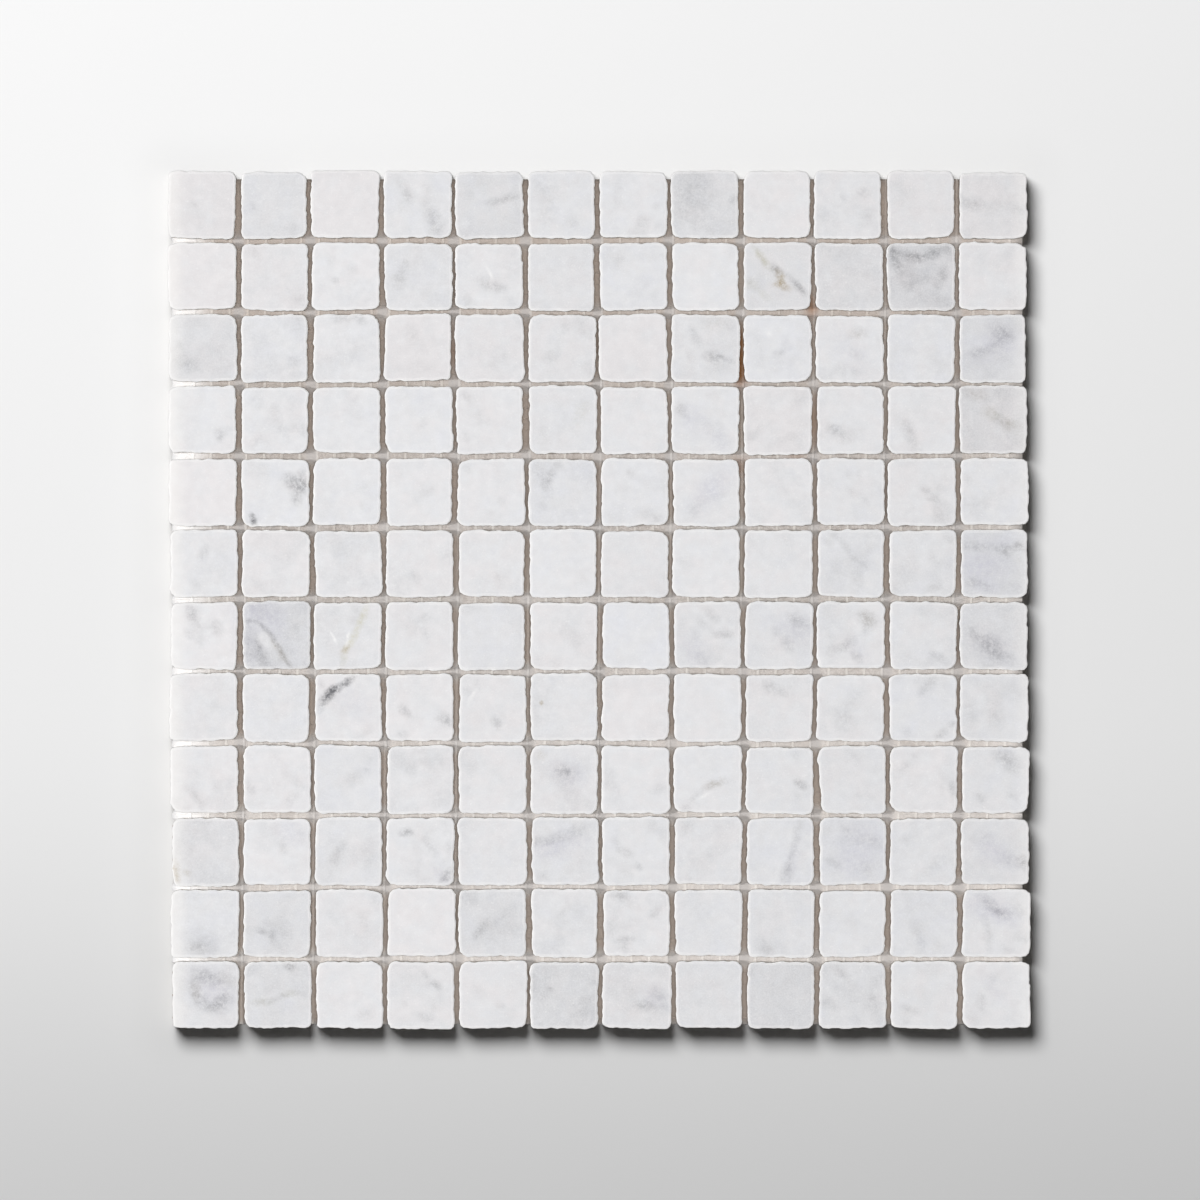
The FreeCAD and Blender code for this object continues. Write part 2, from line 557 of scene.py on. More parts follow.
class Finish:
    """A material with one surface shader, and the nodes that drive it."""

    def __init__(self, name):
        self.material = bpy.data.materials.new(name)
        self.material.use_nodes = True
        self.tree = self.material.node_tree
        self.surface = self.tree.nodes["Principled BSDF"]
        self.here = self.add("ShaderNodeTexCoord").outputs["Object"]

    def add(self, kind, settings=None, sockets=None):
        node = self.tree.nodes.new(kind)
        for name, value in (settings or {}).items():
            setattr(node, name, value)
        self.fill(node, sockets or {})
        return node

    def fill(self, node, sockets):
        for name, value in sockets.items():
            if isinstance(value, Varying):
                value = value.socket
            if isinstance(value, bpy.types.NodeSocket):
                self.tree.links.new(value, node.inputs[name])
            else:
                node.inputs[name].default_value = value

    def maths(self, operation, *values):
        node = self.add("ShaderNodeMath", {"operation": operation}, dict(enumerate(values)))
        return Varying(self, node.outputs[0])

    def vector(self, operation, *values):
        node = self.add("ShaderNodeVectorMath", {"operation": operation}, dict(enumerate(values)))
        return node.outputs[0]

    def length(self, operation, *values):
        node = self.add("ShaderNodeVectorMath", {"operation": operation}, dict(enumerate(values)))
        return Varying(self, node.outputs["Value"])

    def fade(self, value, start, end, most=1.0):
        """From 0 at start to the most at end, softly, and level beyond them."""
        node = self.add(
            "ShaderNodeMapRange",
            {"interpolation_type": "SMOOTHSTEP"},
            {"Value": value, "From Min": start, "From Max": end, "To Max": most},
        )
        return Varying(self, node.outputs["Result"])

    def noise_node(self, where, size, detail, roughness):
        sockets = {"Vector": where, "Scale": 1 / size, "Detail": detail, "Roughness": roughness}
        return self.add("ShaderNodeTexNoise", None, sockets)

    def noise(self, where, size, detail=3.0, roughness=0.5):
        """Noise with lumps of about that size, in metres."""
        return Varying(self, self.noise_node(where, size, detail, roughness).outputs["Fac"])

    def bend(self, where, size, reach):
        """How far a place moves sideways: by up to about a third of the reach."""
        sway = self.noise_node(where, size, 4.0, 0.6).outputs["Color"]
        sway = self.vector("SUBTRACT", sway, (0.5, 0.5, 0.5))
        return self.vector("MULTIPLY", sway, (reach, reach, 0.0))

    def colour_mix(self, amount, plain, other):
        node = self.add("ShaderNodeMix", {"data_type": "RGBA"}, {0: amount, 6: plain, 7: other})
        return node.outputs[2]

    def bump(self, height, distance, strength):
        node = self.add(
            "ShaderNodeBump",
            None,
            {"Height": height, "Distance": distance, "Strength": strength},
        )
        return node.outputs["Normal"]

    def attribute(self, name, output="Vector"):
        return self.add("ShaderNodeAttribute", {"attribute_name": name}).outputs[output]

    def parts(self, vector):
        node = self.add("ShaderNodeSeparateXYZ", None, {0: vector})
        return [Varying(self, socket) for socket in node.outputs]

    def is_seen(self):
        """1 for what the camera sees, also in reflections or through glass, and 0 for the rest."""
        path = self.add("ShaderNodeLightPath").outputs
        seen = self.maths("MAXIMUM", path["Is Camera Ray"], path["Is Glossy Ray"])
        return self.maths("MAXIMUM", seen, path["Is Transmission Ray"])


def paint(red, green, blue):
    """A colour as a screen shows it, from 0 to 255, turned into the light that it gives back."""
    linear = []
    for value in (red, green, blue):
        share = value / 255
        linear.append(share / 12.92 if share <= 0.04045 else ((share + 0.055) / 1.055) ** 2.4)
    return (*linear, 1.0)


print("the white of the marble as light:", paint(231, 231, 233))

# %% [markdown]
# ## Marks in the stone
# The grey smudges, streaks and veins make the sheet recognisable, so the clear ones are placed
# one by one. Each is a soft streak between two pixels of the photograph, or a spot where they are
# nearly the same: a distance to the streak, bent by noise, fades into a smudge. So a mark is
# written as x and y of its two ends, half its width, all in pixels, and its depth.

# %% Streaks and spots, row by row
grey_marks = {
    1: [
        (251, 205, 253, 207, 4, 0.14), (289, 228, 292, 234, 7, 0.1), (193, 203, 195, 205, 3, 0.14),
        (399, 180, 405, 190, 5, 0.12), (406, 192, 411, 200, 5, 0.22), (426, 186, 428, 190, 4, 0.12),
        (427, 205, 434, 215, 7, 0.18), (435, 220, 438, 234, 8, 0.26), (401, 204, 404, 210, 5, 0.08),
        (487, 203, 500, 201, 3.5, 0.24), (500, 201, 517, 196, 3.5, 0.32),
        (467, 192, 469, 196, 6, 0.1), (480, 177, 487, 182, 8, 0.08), (504, 226, 514, 228, 10, 0.08),
        (538, 184, 551, 192, 9, 0.12), (544, 200, 549, 215, 8, 0.1), (571, 219, 575, 226, 6, 0.13),
        (640, 226, 645, 221, 6, 0.18), (656, 205, 658, 207, 4, 0.08),
        (682, 206, 698, 186, 15, 0.16), (690, 216, 704, 222, 12, 0.08),
        (733, 199, 734, 202, 3.5, 0.22), (716, 231, 726, 228, 7, 0.09),
        (862, 192, 865, 194, 4.5, 0.18), (842, 197, 844, 199, 4, 0.1),
        (820, 213, 832, 219, 7, 0.11), (864, 223, 868, 212, 6, 0.12),
        (961, 199, 963, 202, 4.5, 0.17), (970, 204, 980, 206, 5.5, 0.3),
        (990, 205, 1012, 206, 5, 0.13), (1016, 208, 1019, 210, 4.5, 0.15),
    ],
    2: [
        (254, 247, 256, 253, 6, 0.14), (298, 297, 302, 300, 5, 0.11), (329, 261, 333, 260, 5, 0.1),
        (352, 267, 354, 270, 4, 0.1), (334, 280, 336, 282, 3, 0.2), (402, 271, 397, 286, 6, 0.2),
        (405, 261, 406, 263, 2.5, 0.22), (478, 281, 490, 284, 5, 0.13),
        (490, 286, 502, 288, 5, 0.28), (468, 301, 471, 306, 5, 0.15), (505, 263, 508, 266, 4, 0.12),
        (617, 264, 621, 258, 5, 0.12), (728, 256, 731, 251, 5, 0.08),
        (754, 248, 770, 268, 2.6, 0.24), (774, 268, 778, 272, 4, 0.46),
        (783, 271, 797, 285, 2.4, 0.22), (797, 285, 803, 292, 3.4, 0.6),
        (757, 289, 770, 300, 3, 0.1), (749, 282, 753, 285, 5, 0.16), (890, 248, 895, 255, 6, 0.6),
        (894, 262, 899, 269, 5, 0.36), (903, 256, 909, 255, 5, 0.3),
        (913, 258, 921, 258, 4.6, 0.55), (922, 257, 938, 252, 4, 0.25),
        (929, 254, 935, 253, 4.5, 0.34), (943, 249, 948, 250, 5, 0.3),
        (900, 272, 915, 276, 10, 0.16), (944, 273, 938, 285, 5, 0.34),
        (922, 280, 932, 278, 4, 0.16), (905, 287, 912, 286, 4.5, 0.16),
        (942, 302, 950, 305, 6, 0.22), (915, 292, 930, 298, 10, 0.1),
        (1012, 298, 1016, 303, 6, 0.11),
    ],
    3: [
        (190, 322, 206, 318, 7, 0.08), (179, 342, 181, 347, 4, 0.15), (185, 362, 191, 366, 8, 0.22),
        (176, 350, 180, 370, 6, 0.09), (217, 368, 224, 372, 7, 0.08),
        (292, 361, 295, 362, 5.5, 0.22), (296, 318, 301, 327, 7, 0.11),
        (337, 318, 347, 317, 5, 0.22), (347, 317, 359, 318, 4, 0.12), (359, 317, 362, 321, 4, 0.22),
        (410, 332, 414, 338, 6, 0.14), (414, 371, 434, 366, 7, 0.08), (491, 368, 506, 352, 5, 0.1),
        (563, 322, 567, 328, 5, 0.12), (578, 320, 586, 330, 7, 0.12), (548, 360, 553, 353, 6, 0.12),
        (588, 365, 592, 373, 5, 0.09), (691, 329, 699, 343, 4, 0.19), (708, 357, 720, 356, 5, 0.36),
        (720, 357, 737, 363, 3, 0.2), (714, 366, 722, 368, 7, 0.12), (689, 353, 692, 358, 4, 0.11),
        (706, 322, 720, 321, 7, 0.08), (728, 323, 732, 328, 5, 0.1), (777, 354, 783, 350, 4, 0.22),
        (786, 343, 789, 346, 4, 0.08), (853, 334, 861, 333, 5, 0.13),
        (853, 354, 858, 357, 4.5, 0.13), (836, 367, 841, 370, 5, 0.09),
        (853, 370, 857, 373, 4, 0.09), (932, 350, 942, 372, 6, 0.08),
        (995, 329, 1002, 334, 8, 0.22), (1003, 334, 1010, 337, 6, 0.22),
        (1000, 342, 995, 348, 6, 0.14), (974, 354, 982, 352, 5, 0.22),
        (982, 352, 994, 347, 5, 0.12), (1001, 362, 1007, 356, 6, 0.08),
    ],
    4: [
        (219, 433, 221, 437, 4.5, 0.28), (226, 430, 232, 428, 4, 0.1),
        (256, 394, 260, 405, 7, 0.11), (273, 411, 276, 422, 6, 0.13), (280, 430, 292, 431, 5, 0.08),
        (298, 424, 306, 434, 7, 0.14), (251, 447, 263, 435, 3.5, 0.11),
        (419, 428, 424, 422, 3.5, 0.1), (463, 393, 467, 398, 3.5, 0.16),
        (477, 412, 483, 421, 6, 0.11), (465, 435, 467, 439, 3.5, 0.1),
        (577, 421, 584, 404, 6, 0.08), (541, 431, 546, 437, 5, 0.1), (678, 405, 685, 415, 4, 0.24),
        (708, 423, 720, 436, 8, 0.1), (710, 393, 716, 396, 5, 0.08), (749, 440, 759, 429, 4, 0.18),
        (790, 438, 796, 436, 5, 0.1), (797, 404, 802, 395, 5, 0.1), (831, 428, 838, 431, 4.5, 0.32),
        (838, 436, 848, 440, 5, 0.18), (846, 430, 856, 432, 7, 0.09), (901, 419, 908, 428, 5, 0.11),
        (907, 426, 912, 440, 6, 0.18), (911, 440, 918, 452, 5, 0.15), (986, 412, 997, 416, 5, 0.2),
        (996, 416, 1006, 424, 4.5, 0.14), (1005, 424, 1020, 427, 5, 0.13),
        (967, 393, 985, 396, 5, 0.13), (1000, 391, 1004, 398, 5, 0.08),
    ],
    5: [
        (250, 465, 268, 472, 8, 0.11), (287, 478, 292, 481, 5.5, 0.38),
        (297, 486, 303, 489, 6, 0.4), (302, 475, 305, 484, 5, 0.4), (294, 497, 298, 501, 4.5, 0.27),
        (295, 484, 297, 494, 7, 0.12), (252, 516, 255, 525, 2.6, 0.95),
        (251, 513, 256, 527, 7, 0.1), (360, 488, 367, 484, 5, 0.1), (364, 506, 368, 510, 4, 0.1),
        (424, 494, 432, 488, 5, 0.12), (413, 497, 416, 499, 3, 0.08), (500, 501, 504, 502, 4, 0.11),
        (490, 512, 492, 514, 3, 0.08), (466, 466, 468, 470, 4, 0.1), (537, 467, 544, 480, 8, 0.16),
        (544, 480, 548, 491, 5, 0.16), (561, 460, 552, 474, 4, 0.18),
        (552, 474, 547, 485, 4.5, 0.15), (543, 503, 541, 513, 5, 0.1),
        (629, 471, 631, 475, 3.5, 0.17), (650, 513, 657, 520, 6, 0.17),
        (697, 507, 690, 516, 6, 0.12), (712, 498, 729, 494, 3, 0.08),
        (846, 474, 850, 476, 3.5, 0.1), (859, 473, 861, 478, 3, 0.12),
        (848, 491, 854, 494, 3.5, 0.09), (862, 496, 867, 502, 3, 0.11),
        (923, 489, 928, 491, 4, 0.22), (930, 498, 936, 499, 4, 0.24), (939, 504, 947, 513, 7, 0.15),
        (936, 515, 942, 521, 5, 0.12), (938, 486, 941, 492, 4, 0.1),
        (967, 478, 969, 483, 3.5, 0.12),
    ],
    6: [
        (208, 546, 201, 560, 4.5, 0.19), (193, 582, 197, 586, 4, 0.12),
        (287, 561, 293, 553, 6, 0.12), (295, 535, 300, 540, 6, 0.13), (256, 584, 262, 588, 5, 0.08),
        (336, 545, 350, 548, 11, 0.09), (360, 538, 372, 546, 8, 0.09),
        (413, 572, 416, 580, 4, 0.14), (498, 579, 502, 581, 5, 0.11), (580, 584, 585, 574, 5, 0.08),
        (681, 560, 688, 565, 7, 0.09), (784, 538, 790, 542, 6, 0.09), (838, 536, 854, 558, 3, 0.17),
        (853, 557, 868, 567, 3, 0.14), (831, 533, 836, 537, 4, 0.14), (826, 541, 829, 543, 3, 0.14),
        (857, 562, 857, 592, 5, 0.12), (834, 572, 842, 576, 8, 0.08), (946, 534, 950, 540, 4, 0.16),
        (933, 556, 937, 563, 4, 0.09), (929, 588, 938, 585, 4, 0.17), (890, 587, 894, 592, 5, 0.1),
        (963, 546, 984, 547, 4, 0.26), (984, 548, 1000, 548, 4, 0.13),
        (1000, 549, 1008, 551, 5, 0.36), (1008, 547, 1022, 546, 3.5, 0.26),
        (1019, 545, 1024, 548, 4, 0.3), (968, 583, 976, 580, 4, 0.24), (977, 584, 990, 588, 4, 0.2),
        (1012, 586, 1018, 588, 5, 0.15),
    ],
    7: [
        (191, 610, 194, 619, 6, 0.34), (188, 632, 191, 635, 4, 0.16), (197, 628, 204, 627, 4, 0.15),
        (214, 624, 218, 631, 5, 0.25), (199, 637, 200, 643, 4, 0.14),
        (243, 620, 257, 622, 2.4, 0.3), (256, 622, 269, 631, 2.2, 0.34),
        (268, 631, 277, 645, 2.2, 0.42), (277, 645, 283, 655, 2.6, 0.42),
        (283, 655, 291, 668, 2.2, 0.38), (257, 635, 260, 650, 3, 0.26),
        (260, 650, 265, 663, 4.5, 0.26), (246, 650, 260, 662, 9, 0.2),
        (245, 630, 252, 642, 9, 0.16), (256, 605, 268, 612, 12, 0.1), (333, 609, 337, 618, 5, 0.08),
        (353, 606, 357, 614, 5, 0.11), (404, 620, 420, 630, 12, 0.09),
        (421, 620, 428, 616, 4, 0.12), (424, 631, 427, 635, 3.5, 0.1),
        (463, 610, 474, 606, 6, 0.12), (553, 661, 558, 666, 5, 0.08),
        (708, 611, 716, 618, 4.5, 0.2), (697, 618, 706, 627, 4, 0.13),
        (695, 631, 697, 636, 3.5, 0.14), (717, 634, 732, 634, 4, 0.28),
        (700, 658, 708, 665, 5, 0.12), (682, 622, 685, 625, 4, 0.08), (791, 617, 798, 621, 5, 0.2),
        (797, 621, 809, 626, 6, 0.18), (775, 630, 778, 635, 3.5, 0.16),
        (786, 640, 789, 649, 5, 0.23), (794, 634, 804, 638, 7, 0.08),
        (863, 617, 871, 619, 6.5, 0.3), (868, 624, 865, 633, 4.5, 0.19),
        (831, 651, 845, 647, 5, 0.19), (844, 647, 854, 639, 4.5, 0.17),
        (855, 655, 859, 660, 4, 0.26), (931, 655, 941, 657, 4, 0.21), (943, 660, 947, 663, 4, 0.12),
        (984, 643, 994, 647, 8, 0.25), (971, 631, 978, 638, 5, 0.21),
        (994, 653, 1001, 658, 6, 0.22), (1009, 655, 1012, 659, 3.5, 0.14),
        (984, 640, 998, 652, 13, 0.13),
    ],
    8: [
        (354, 676, 346, 683, 3.4, 0.55), (347, 682, 338, 688, 3.6, 0.5),
        (339, 687, 331, 693, 3.8, 0.6), (332, 691, 325, 699, 4.6, 0.75),
        (325, 699, 319, 709, 4, 0.36), (354, 737, 370, 731, 3, 0.12), (320, 682, 322, 687, 3, 0.14),
        (402, 709, 406, 711, 4, 0.26), (408, 713, 414, 717, 3, 0.12), (400, 734, 404, 736, 4, 0.24),
        (440, 717, 448, 719, 5, 0.24), (446, 722, 451, 725, 4, 0.24), (495, 720, 498, 726, 4, 0.33),
        (466, 690, 470, 693, 4, 0.12), (477, 683, 479, 689, 3.5, 0.1),
        (766, 683, 770, 688, 5, 0.19), (770, 686, 785, 694, 5, 0.13),
        (781, 690, 785, 696, 3.5, 0.12), (864, 689, 852, 701, 6, 0.1),
        (850, 702, 842, 722, 8, 0.11), (840, 718, 852, 732, 9, 0.09), (821, 725, 824, 730, 4, 0.12),
        (928, 684, 934, 680, 4.5, 0.24), (926, 687, 920, 695, 3.5, 0.16),
        (938, 737, 945, 732, 3.5, 0.26), (951, 725, 955, 723, 3, 0.24),
        (905, 731, 910, 734, 4, 0.1), (967, 704, 972, 720, 7, 0.16), (993, 706, 998, 725, 8, 0.15),
        (976, 684, 984, 688, 6, 0.09),
    ],
    9: [
        (186, 788, 194, 795, 4, 0.11), (194, 794, 202, 807, 4, 0.16), (177, 800, 184, 804, 6, 0.08),
        (216, 785, 218, 789, 4, 0.1), (247, 784, 252, 792, 4.5, 0.16),
        (274, 756, 280, 762, 6, 0.08), (291, 777, 304, 790, 5, 0.12), (287, 802, 296, 796, 5, 0.15),
        (346, 781, 359, 776, 7, 0.15), (365, 769, 367, 771, 2.5, 0.2),
        (368, 756, 373, 760, 5, 0.08), (396, 758, 410, 762, 7, 0.08), (420, 757, 446, 760, 9, 0.1),
        (409, 768, 413, 771, 4, 0.14), (433, 804, 447, 802, 4, 0.11), (418, 747, 424, 749, 4, 0.1),
        (561, 771, 569, 773, 4.5, 0.32), (560, 772, 570, 774, 9, 0.16),
        (566, 788, 576, 800, 9, 0.08), (603, 762, 620, 806, 7, 0.11),
        (654, 790, 665, 787, 4.5, 0.15), (722, 781, 712, 785, 4, 0.15),
        (712, 785, 706, 786, 4, 0.16), (704, 789, 694, 799, 3.5, 0.12),
        (694, 798, 686, 807, 3.5, 0.1), (683, 808, 689, 809, 3.5, 0.18),
        (727, 783, 733, 781, 4, 0.1), (799, 783, 804, 786, 4, 0.32), (796, 780, 800, 783, 5, 0.1),
        (797, 796, 800, 799, 3, 0.12), (794, 755, 796, 758, 3.5, 0.12),
        (851, 753, 859, 757, 5, 0.11), (858, 795, 861, 797, 3.5, 0.12),
        (902, 769, 908, 765, 4.5, 0.16), (912, 756, 914, 758, 3, 0.12),
        (952, 785, 954, 792, 3.5, 0.32), (997, 751, 1006, 756, 7, 0.17),
        (1005, 758, 1016, 767, 8, 0.24), (978, 796, 982, 799, 4, 0.16),
        (1011, 793, 1014, 799, 4.5, 0.11),
    ],
    10: [
        (200, 833, 212, 838, 8, 0.09), (282, 845, 284, 851, 4, 0.16), (264, 827, 276, 835, 8, 0.09),
        (303, 835, 308, 841, 6, 0.08), (334, 861, 337, 853, 4.5, 0.19),
        (338, 850, 345, 843, 3.5, 0.15), (368, 855, 371, 869, 6, 0.11),
        (403, 833, 408, 832, 4, 0.4), (408, 833, 416, 835, 3.5, 0.15),
        (425, 837, 430, 845, 4, 0.15), (429, 847, 435, 854, 4, 0.12), (450, 871, 443, 881, 4, 0.45),
        (449, 845, 451, 851, 4, 0.18), (532, 842, 547, 841, 4, 0.26),
        (546, 840, 561, 837, 4.5, 0.17), (560, 837, 589, 827, 6, 0.21),
        (541, 875, 545, 877, 4, 0.16), (615, 841, 619, 848, 4, 0.14), (622, 852, 630, 854, 4, 0.18),
        (638, 865, 640, 868, 3, 0.2), (626, 872, 630, 874, 3.5, 0.12),
        (647, 824, 657, 826, 5, 0.09), (661, 831, 666, 838, 5, 0.08), (684, 832, 691, 824, 5, 0.12),
        (800, 819, 797, 836, 4.5, 0.17), (797, 836, 791, 856, 3.5, 0.15),
        (791, 856, 788, 868, 3.5, 0.16), (788, 868, 784, 882, 5, 0.27),
        (843, 829, 847, 832, 4, 0.14), (848, 838, 870, 842, 6, 0.12), (871, 840, 879, 843, 5, 0.12),
        (830, 860, 836, 865, 5, 0.2), (864, 866, 870, 870, 5, 0.12), (825, 826, 828, 829, 5, 0.08),
        (902, 841, 909, 840, 5, 0.1), (921, 877, 946, 857, 4.5, 0.11),
        (1023, 860, 1026, 866, 5, 0.38), (1006, 858, 1020, 864, 7, 0.14),
        (975, 839, 991, 836, 5, 0.11),
    ],
    11: [
        (191, 947, 209, 948, 6, 0.22), (195, 943, 207, 944, 10, 0.12),
        (258, 930, 262, 932, 3.5, 0.24), (264, 933, 268, 934, 3, 0.1),
        (271, 934, 273, 938, 3.5, 0.32), (277, 929, 281, 931, 4, 0.12),
        (245, 930, 253, 931, 5, 0.09), (361, 915, 366, 928, 4.5, 0.12),
        (372, 896, 377, 906, 5, 0.09), (477, 934, 485, 924, 4.5, 0.28),
        (474, 938, 478, 936, 4, 0.14), (484, 922, 493, 926, 6, 0.12), (500, 917, 513, 907, 7, 0.12),
        (557, 918, 563, 911, 4, 0.12), (552, 921, 555, 925, 3.5, 0.1),
        (614, 894, 625, 897, 5, 0.26), (622, 896, 635, 906, 6, 0.09), (618, 906, 610, 936, 6, 0.13),
        (618, 940, 631, 939, 3.5, 0.24), (622, 948, 627, 946, 3.5, 0.17),
        (651, 915, 659, 910, 4, 0.18), (761, 943, 768, 953, 6, 0.19), (768, 946, 781, 952, 6, 0.1),
        (864, 948, 868, 951, 3.5, 0.1), (913, 922, 919, 936, 5, 0.1), (920, 939, 922, 947, 4, 0.16),
        (936, 944, 940, 948, 4, 0.1), (981, 895, 990, 905, 6, 0.14), (989, 904, 998, 911, 5, 0.18),
        (998, 911, 1008, 915, 4.5, 0.26), (984, 917, 988, 931, 4, 0.13),
        (988, 930, 989, 949, 4, 0.15), (1016, 903, 1022, 913, 6, 0.17),
        (1020, 936, 1025, 940, 4.5, 0.17), (1004, 948, 1010, 952, 5, 0.12),
    ],
    12: [
        (195, 973, 202, 977, 6, 0.18), (203, 975, 216, 981, 6, 0.34), (195, 981, 196, 997, 5, 0.23),
        (198, 998, 208, 1007, 6, 0.3), (218, 1004, 224, 999, 5.5, 0.48),
        (209, 1008, 223, 1010, 5, 0.2), (215, 975, 235, 982, 6, 0.16),
        (226, 994, 232, 1000, 5, 0.13), (180, 984, 190, 988, 6, 0.09),
        (287, 964, 292, 967, 4, 0.42), (253, 1002, 271, 1002, 3, 0.22),
        (270, 1002, 283, 995, 3, 0.2), (283, 995, 295, 993, 3, 0.24), (298, 988, 304, 992, 6, 0.12),
        (295, 966, 302, 976, 7, 0.09), (361, 1015, 370, 1012, 5, 0.16),
        (436, 984, 439, 987, 3.5, 0.3), (428, 985, 434, 982, 3.5, 0.15),
        (423, 973, 427, 978, 3.5, 0.17), (418, 1015, 430, 1018, 4, 0.23),
        (432, 1007, 438, 1002, 5, 0.12), (403, 1002, 405, 1005, 3, 0.1),
        (498, 1004, 502, 1007, 3.5, 0.12), (475, 988, 480, 992, 4.5, 0.08),
        (550, 988, 552, 990, 2.5, 0.18), (656, 991, 662, 999, 5, 0.2),
        (640, 1006, 647, 1005, 5, 0.26), (646, 1007, 665, 1010, 5, 0.16),
        (612, 988, 614, 994, 4, 0.1), (630, 987, 636, 999, 6, 0.08), (657, 967, 665, 972, 6, 0.08),
        (838, 969, 845, 978, 4.5, 0.19), (872, 985, 880, 978, 5, 0.1),
        (821, 1002, 834, 1005, 5, 0.16), (870, 997, 876, 1009, 6, 0.15),
        (853, 1016, 857, 1021, 4, 0.1), (903, 1006, 908, 1009, 3.5, 0.2),
        (908, 1010, 918, 1011, 4, 0.12), (904, 1018, 907, 1021, 5, 0.1),
        (923, 968, 937, 972, 7, 0.08), (981, 995, 983, 1011, 4.5, 0.19),
        (992, 978, 998, 974, 4, 0.1), (968, 1011, 975, 1023, 6, 0.1),
    ],
}
lavender_marks = {
    2: [(895, 262, 935, 285, 24, 0.1)],
    3: [
        (840, 340, 860, 365, 14, 0.2), (996, 332, 1008, 338, 12, 0.3),
        (980, 353, 1005, 345, 13, 0.35),
    ],
    4: [(690, 414, 698, 425, 10, 0.3), (716, 436, 725, 447, 9, 0.3)],
    5: [(724, 474, 698, 506, 11, 0.45)],
    6: [(970, 542, 1018, 542, 6, 0.3), (966, 565, 994, 568, 14, 0.55), (972, 586, 1000, 590, 6, 0.3)],
    7: [
        (248, 610, 268, 615, 15, 0.6), (246, 640, 252, 652, 12, 0.4), (272, 616, 282, 640, 8, 0.2),
        (690, 645, 700, 658, 11, 0.35), (788, 626, 802, 634, 14, 0.35), (855, 645, 862, 655, 8, 0.3),
        (980, 641, 1000, 652, 12, 0.35),
    ],
    8: [(344, 694, 362, 712, 12, 0.25)],
    9: [(562, 770, 577, 778, 12, 0.35)],
    10: [
        (284, 825, 297, 838, 10, 0.35), (438, 873, 447, 880, 7, 0.35), (538, 850, 569, 846, 10, 0.5),
        (570, 838, 586, 840, 7, 0.25), (796, 850, 789, 877, 7, 0.3), (856, 831, 873, 847, 16, 0.4),
        (845, 857, 862, 869, 12, 0.4), (982, 849, 1016, 865, 10, 0.35), (985, 838, 996, 850, 9, 0.25),
    ],
    11: [(970, 904, 996, 906, 12, 0.45), (994, 914, 1016, 919, 9, 0.45)],
    12: [
        (205, 984, 223, 993, 17, 0.5), (282, 1000, 292, 1011, 7, 0.2), (652, 995, 661, 1000, 10, 0.4),
        (984, 976, 992, 984, 6, 0.22), (994, 992, 1001, 998, 6, 0.22),
    ],
}
brown_marks = {
    2: [(778, 273, 782, 279, 4, 0.5), (777, 284, 781, 283, 3.5, 0.4), (780, 284, 788, 288, 3.5, 0.5)],
    3: [(706, 322, 720, 322, 7, 0.07), (454, 346, 454, 356, 5, 0.12), (853, 334, 861, 334, 5, 0.1)],
    4: [(1006, 423, 1015, 428, 6, 0.15), (967, 393, 985, 396, 5, 0.1)],
    7: [(268, 634, 290, 667, 3, 0.16), (344, 652, 348, 646, 2.8, 0.35), (865, 616, 870, 623, 6, 0.14)],
    8: [(542, 702, 542, 704, 1.8, 0.6)],
    9: [(722, 781, 708, 786, 4, 0.2), (538, 754, 542, 756, 4, 0.16)],
    10: [(172, 864, 175, 880, 5, 0.9), (186, 872, 188, 874, 3, 0.24)],
    12: [(195, 983, 196, 997, 5, 0.12), (222, 978, 237, 984, 6, 0.1)],
}
olive_marks = {
    2: [(754, 248, 770, 268, 3, 0.3), (748, 283, 754, 285, 5, 0.12), (757, 289, 770, 300, 3, 0.12)],
    4: [(577, 421, 584, 404, 6, 0.1), (986, 412, 997, 416, 5, 0.12)],
    7: [(367, 606, 358, 630, 3.4, 0.4), (358, 629, 346, 649, 3.4, 0.4), (346, 649, 343, 665, 3, 0.24)],
    12: [(253, 1002, 271, 1002, 4, 0.1), (283, 995, 295, 993, 4, 0.14)],
}
white_marks = {
    2: [(486, 266, 494, 281, 1.5, 0.5)],
    3: [(767, 330, 770, 335, 2.6, 0.4)],
    7: [(330, 632, 336, 643, 1.3, 0.8), (349, 632, 346, 646, 1.3, 0.7), (260, 634, 268, 644, 5, 0.3)],
    8: [(468, 703, 476, 690, 1.8, 0.6)],
    9: [(701, 798, 711, 792, 1.8, 0.45), (694, 801, 703, 797, 1.4, 0.3)],
}
rust_marks = [
    (740, 334, 741, 380, 7, 1.7), (812, 302, 812, 312, 6, 0.7), (812, 395, 812, 445, 5, 0.5),
    (741, 462, 741, 468, 7, 0.4), (795, 457, 797, 457, 8, 0.3), (454, 346, 454, 356, 7, 0.3),
    (597, 340, 597, 350, 6, 0.25),
]
print(sum(len(marks) for marks in grey_marks.values()), "grey marks")

# %% How marks turn into smudges
fades_out = 1.9  # in half widths from the middle of a mark
longest_spot = 0.4  # in reaches: what is longer counts as a streak
streak_ends = 0.65  # how much further a streak reaches lengthwise, as a share of its length


